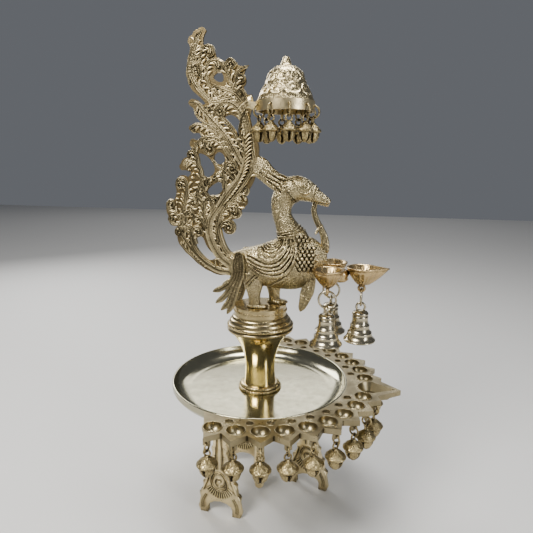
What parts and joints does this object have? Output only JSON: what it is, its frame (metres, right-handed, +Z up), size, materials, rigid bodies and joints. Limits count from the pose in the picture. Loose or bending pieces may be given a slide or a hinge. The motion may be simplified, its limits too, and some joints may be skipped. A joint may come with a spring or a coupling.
{
  "type": "standing oil lamp",
  "caption": "Brass standing oil lamp with a footed dish, a crescent of cup lamps, jingle bells, a peacock-swan, a pierced tail, a belled canopy and hanging bells.",
  "frame": {"origin": "on the table, at the middle of the lamp's footprint box", "axes": "+Z up, +X towards the bird's beak and the big pointed lamp, -Y the bird's right side"},
  "size_m": [0.2369, 0.2536, 0.4666],
  "materials": {
    "antique_brass": "cast brass with dark patina in the hollows",
    "polished_brass": "turned and polished brass",
    "pale_brass": "bright pale brass with fine scratches",
    "satin_brass": "satin brass, warmer and duller in the cups",
    "bell_brass": "dimpled cast brass with patina",
    "silvery_brass": "turned brass with a greyer, silvery tone",
    "plain_steel": "plain steel fastener"
  },
  "bodies": {
    "root": {"dish": "pale_brass", "lamp_crescent": "satin_brass", "foot_1": "antique_brass", "foot_2": "antique_brass", "foot_3": "antique_brass", "column_base_collar": "polished_brass", "column_shaft": "polished_brass", "column_cap": "polished_brass", "tie_rod": "plain_steel", "clamp_washer": "plain_steel", "finial_nut": "antique_brass", "bird_body": "antique_brass", "bird_legs": "antique_brass", "beak_vine": "antique_brass", "tail_tassels": "antique_brass", "chest_tufts": "antique_brass", "tail_plume": "antique_brass", "canopy_band": "antique_brass", "canopy_dome": "antique_brass", "canopy_finial": "polished_brass", "arm_screw": "plain_steel", "chest_lamps": "antique_brass"},
    "rim_bell_01": {"rim_bell_01": "bell_brass"},
    "rim_bell_02": {"rim_bell_02": "bell_brass"},
    "rim_bell_03": {"rim_bell_03": "bell_brass"},
    "rim_bell_04": {"rim_bell_04": "bell_brass"},
    "rim_bell_05": {"rim_bell_05": "bell_brass"},
    "rim_bell_06": {"rim_bell_06": "bell_brass"},
    "rim_bell_07": {"rim_bell_07": "bell_brass"},
    "rim_bell_08": {"rim_bell_08": "bell_brass"},
    "rim_bell_09": {"rim_bell_09": "bell_brass"},
    "rim_bell_10": {"rim_bell_10": "bell_brass"},
    "rim_bell_11": {"rim_bell_11": "bell_brass"},
    "rim_bell_12": {"rim_bell_12": "bell_brass"},
    "rim_bell_13": {"rim_bell_13": "bell_brass"},
    "rim_bell_14": {"rim_bell_14": "bell_brass"},
    "rim_bell_15": {"rim_bell_15": "bell_brass"},
    "rim_bell_16": {"rim_bell_16": "bell_brass"},
    "rim_bell_17": {"rim_bell_17": "bell_brass"},
    "rim_bell_18": {"rim_bell_18": "bell_brass"},
    "canopy_bell_1": {"canopy_bell_1": "bell_brass"},
    "canopy_bell_2": {"canopy_bell_2": "bell_brass"},
    "canopy_bell_3": {"canopy_bell_3": "bell_brass"},
    "canopy_bell_4": {"canopy_bell_4": "bell_brass"},
    "canopy_bell_5": {"canopy_bell_5": "bell_brass"},
    "canopy_bell_6": {"canopy_bell_6": "bell_brass"},
    "canopy_bell_7": {"canopy_bell_7": "bell_brass"},
    "canopy_bell_8": {"canopy_bell_8": "bell_brass"},
    "canopy_bell_9": {"canopy_bell_9": "bell_brass"},
    "pendant_ring_1": {"pendant_ring_1": "silvery_brass"},
    "pendant_bell_1": {"pendant_bell_1": "silvery_brass"},
    "pendant_clapper_1": {"pendant_clapper_1": "silvery_brass"},
    "pendant_ring_2": {"pendant_ring_2": "silvery_brass"},
    "pendant_bell_2": {"pendant_bell_2": "silvery_brass"},
    "pendant_clapper_2": {"pendant_clapper_2": "silvery_brass"},
    "pendant_ring_3": {"pendant_ring_3": "silvery_brass"},
    "pendant_bell_3": {"pendant_bell_3": "silvery_brass"},
    "pendant_clapper_3": {"pendant_clapper_3": "silvery_brass"}
  },
  "joints": [
    {"name": "rim_bell_01_swing", "type": "hinge", "parent": "root", "child": "rim_bell_01", "pos_m": [-0.03761, -0.11696, 0.1204], "axis": [-0.9912, 0.1323, 0], "range_deg": [-20, 35]},
    {"name": "rim_bell_02_swing", "type": "hinge", "parent": "root", "child": "rim_bell_02", "pos_m": [-0.01541, -0.11782, 0.1204], "axis": [-0.9984, -0.0558, 0], "range_deg": [-20, 35]},
    {"name": "rim_bell_03_swing", "type": "hinge", "parent": "root", "child": "rim_bell_03", "pos_m": [0.00655, -0.11449, 0.1204], "axis": [-0.9703, -0.2419, 0], "range_deg": [-20, 35]},
    {"name": "rim_bell_04_swing", "type": "hinge", "parent": "root", "child": "rim_bell_04", "pos_m": [0.02749, -0.10712, 0.1204], "axis": [-0.9078, -0.4195, 0], "range_deg": [-20, 35]},
    {"name": "rim_bell_05_swing", "type": "hinge", "parent": "root", "child": "rim_bell_05", "pos_m": [0.04669, -0.09595, 0.1204], "axis": [-0.8131, -0.5821, 0], "range_deg": [-20, 35]},
    {"name": "rim_bell_06_swing", "type": "hinge", "parent": "root", "child": "rim_bell_06", "pos_m": [0.06345, -0.08138, 0.1204], "axis": [-0.6896, -0.7242, 0], "range_deg": [-20, 35]},
    {"name": "rim_bell_07_swing", "type": "hinge", "parent": "root", "child": "rim_bell_07", "pos_m": [0.07719, -0.06392, 0.1204], "axis": [-0.5417, -0.8406, 0], "range_deg": [-20, 35]},
    {"name": "rim_bell_08_swing", "type": "hinge", "parent": "root", "child": "rim_bell_08", "pos_m": [0.08741, -0.0442, 0.1204], "axis": [-0.3746, -0.9272, 0], "range_deg": [-20, 35]},
    {"name": "rim_bell_09_swing", "type": "hinge", "parent": "root", "child": "rim_bell_09", "pos_m": [0.09375, -0.02292, 0.1204], "axis": [-0.1942, -0.981, 0], "range_deg": [-20, 35]},
    {"name": "rim_bell_10_swing", "type": "hinge", "parent": "root", "child": "rim_bell_10", "pos_m": [0.09375, 0.02292, 0.1204], "axis": [0.1942, -0.981, 0], "range_deg": [-20, 35]},
    {"name": "rim_bell_11_swing", "type": "hinge", "parent": "root", "child": "rim_bell_11", "pos_m": [0.08741, 0.0442, 0.1204], "axis": [0.3746, -0.9272, 0], "range_deg": [-20, 35]},
    {"name": "rim_bell_12_swing", "type": "hinge", "parent": "root", "child": "rim_bell_12", "pos_m": [0.07719, 0.06392, 0.1204], "axis": [0.5417, -0.8406, 0], "range_deg": [-20, 35]},
    {"name": "rim_bell_13_swing", "type": "hinge", "parent": "root", "child": "rim_bell_13", "pos_m": [0.06345, 0.08138, 0.1204], "axis": [0.6896, -0.7242, 0], "range_deg": [-20, 35]},
    {"name": "rim_bell_14_swing", "type": "hinge", "parent": "root", "child": "rim_bell_14", "pos_m": [0.04669, 0.09595, 0.1204], "axis": [0.8131, -0.5821, 0], "range_deg": [-20, 35]},
    {"name": "rim_bell_15_swing", "type": "hinge", "parent": "root", "child": "rim_bell_15", "pos_m": [0.02749, 0.10712, 0.1204], "axis": [0.9078, -0.4195, 0], "range_deg": [-20, 35]},
    {"name": "rim_bell_16_swing", "type": "hinge", "parent": "root", "child": "rim_bell_16", "pos_m": [0.00655, 0.11449, 0.1204], "axis": [0.9703, -0.2419, 0], "range_deg": [-20, 35]},
    {"name": "rim_bell_17_swing", "type": "hinge", "parent": "root", "child": "rim_bell_17", "pos_m": [-0.01541, 0.11782, 0.1204], "axis": [0.9984, -0.0558, 0], "range_deg": [-20, 35]},
    {"name": "rim_bell_18_swing", "type": "hinge", "parent": "root", "child": "rim_bell_18", "pos_m": [-0.03761, 0.11696, 0.1204], "axis": [0.9912, 0.1323, 0], "range_deg": [-20, 35]},
    {"name": "canopy_bell_1_swing", "type": "hinge", "parent": "root", "child": "canopy_bell_1", "pos_m": [-0.02041, -0.01505, 0.3911], "axis": [-0.5878, 0.809, 0], "range_deg": [-1, 35]},
    {"name": "canopy_bell_2_swing", "type": "hinge", "parent": "root", "child": "canopy_bell_2", "pos_m": [-0.00761, -0.02435, 0.3911], "axis": [-0.9511, 0.309, 0], "range_deg": [-1, 35]},
    {"name": "canopy_bell_3_swing", "type": "hinge", "parent": "root", "child": "canopy_bell_3", "pos_m": [0.00821, -0.02435, 0.3911], "axis": [-0.9511, -0.309, 0], "range_deg": [-1, 35]},
    {"name": "canopy_bell_4_swing", "type": "hinge", "parent": "root", "child": "canopy_bell_4", "pos_m": [0.02101, -0.01505, 0.3911], "axis": [-0.5878, -0.809, 0], "range_deg": [-1, 35]},
    {"name": "canopy_bell_5_swing", "type": "hinge", "parent": "root", "child": "canopy_bell_5", "pos_m": [0.0259, 0, 0.3911], "axis": [0, -1, 0], "range_deg": [-1, 35]},
    {"name": "canopy_bell_6_swing", "type": "hinge", "parent": "root", "child": "canopy_bell_6", "pos_m": [0.02101, 0.01505, 0.3911], "axis": [0.5878, -0.809, 0], "range_deg": [-1, 35]},
    {"name": "canopy_bell_7_swing", "type": "hinge", "parent": "root", "child": "canopy_bell_7", "pos_m": [0.00821, 0.02435, 0.3911], "axis": [0.9511, -0.309, 0], "range_deg": [-1, 35]},
    {"name": "canopy_bell_8_swing", "type": "hinge", "parent": "root", "child": "canopy_bell_8", "pos_m": [-0.00761, 0.02435, 0.3911], "axis": [0.9511, 0.309, 0], "range_deg": [-1, 35]},
    {"name": "canopy_bell_9_swing", "type": "hinge", "parent": "root", "child": "canopy_bell_9", "pos_m": [-0.02041, 0.01505, 0.3911], "axis": [0.5878, 0.809, 0], "range_deg": [-1, 35]},
    {"name": "pendant_ring_1_swing", "type": "hinge", "parent": "root", "child": "pendant_ring_1", "pos_m": [0.076, 0, 0.231], "axis": [0, 1, 0], "range_deg": [-22, 3]},
    {"name": "pendant_bell_1_swing", "type": "hinge", "parent": "pendant_ring_1", "child": "pendant_bell_1", "pos_m": [0.076, 0, 0.223], "axis": [1, 0, 0], "range_deg": [-12, 12]},
    {"name": "pendant_clapper_1_swing", "type": "hinge", "parent": "pendant_bell_1", "child": "pendant_clapper_1", "pos_m": [0.076, 0, 0.204], "axis": [0, 1, 0], "range_deg": [-14, 14]},
    {"name": "pendant_ring_2_swing", "type": "hinge", "parent": "root", "child": "pendant_ring_2", "pos_m": [0.046, -0.019, 0.231], "axis": [1, 0, 0], "range_deg": [-22, 4]},
    {"name": "pendant_bell_2_swing", "type": "hinge", "parent": "pendant_ring_2", "child": "pendant_bell_2", "pos_m": [0.046, -0.019, 0.223], "axis": [0, 1, 0], "range_deg": [-4, 12]},
    {"name": "pendant_clapper_2_swing", "type": "hinge", "parent": "pendant_bell_2", "child": "pendant_clapper_2", "pos_m": [0.046, -0.019, 0.204], "axis": [1, 0, 0], "range_deg": [-14, 14]},
    {"name": "pendant_ring_3_swing", "type": "hinge", "parent": "root", "child": "pendant_ring_3", "pos_m": [0.046, 0.019, 0.231], "axis": [1, 0, 0], "range_deg": [-4, 22]},
    {"name": "pendant_bell_3_swing", "type": "hinge", "parent": "pendant_ring_3", "child": "pendant_bell_3", "pos_m": [0.046, 0.019, 0.223], "axis": [0, 1, 0], "range_deg": [-4, 12]},
    {"name": "pendant_clapper_3_swing", "type": "hinge", "parent": "pendant_bell_3", "child": "pendant_clapper_3", "pos_m": [0.046, 0.019, 0.204], "axis": [1, 0, 0], "range_deg": [-14, 14]}
  ]
}
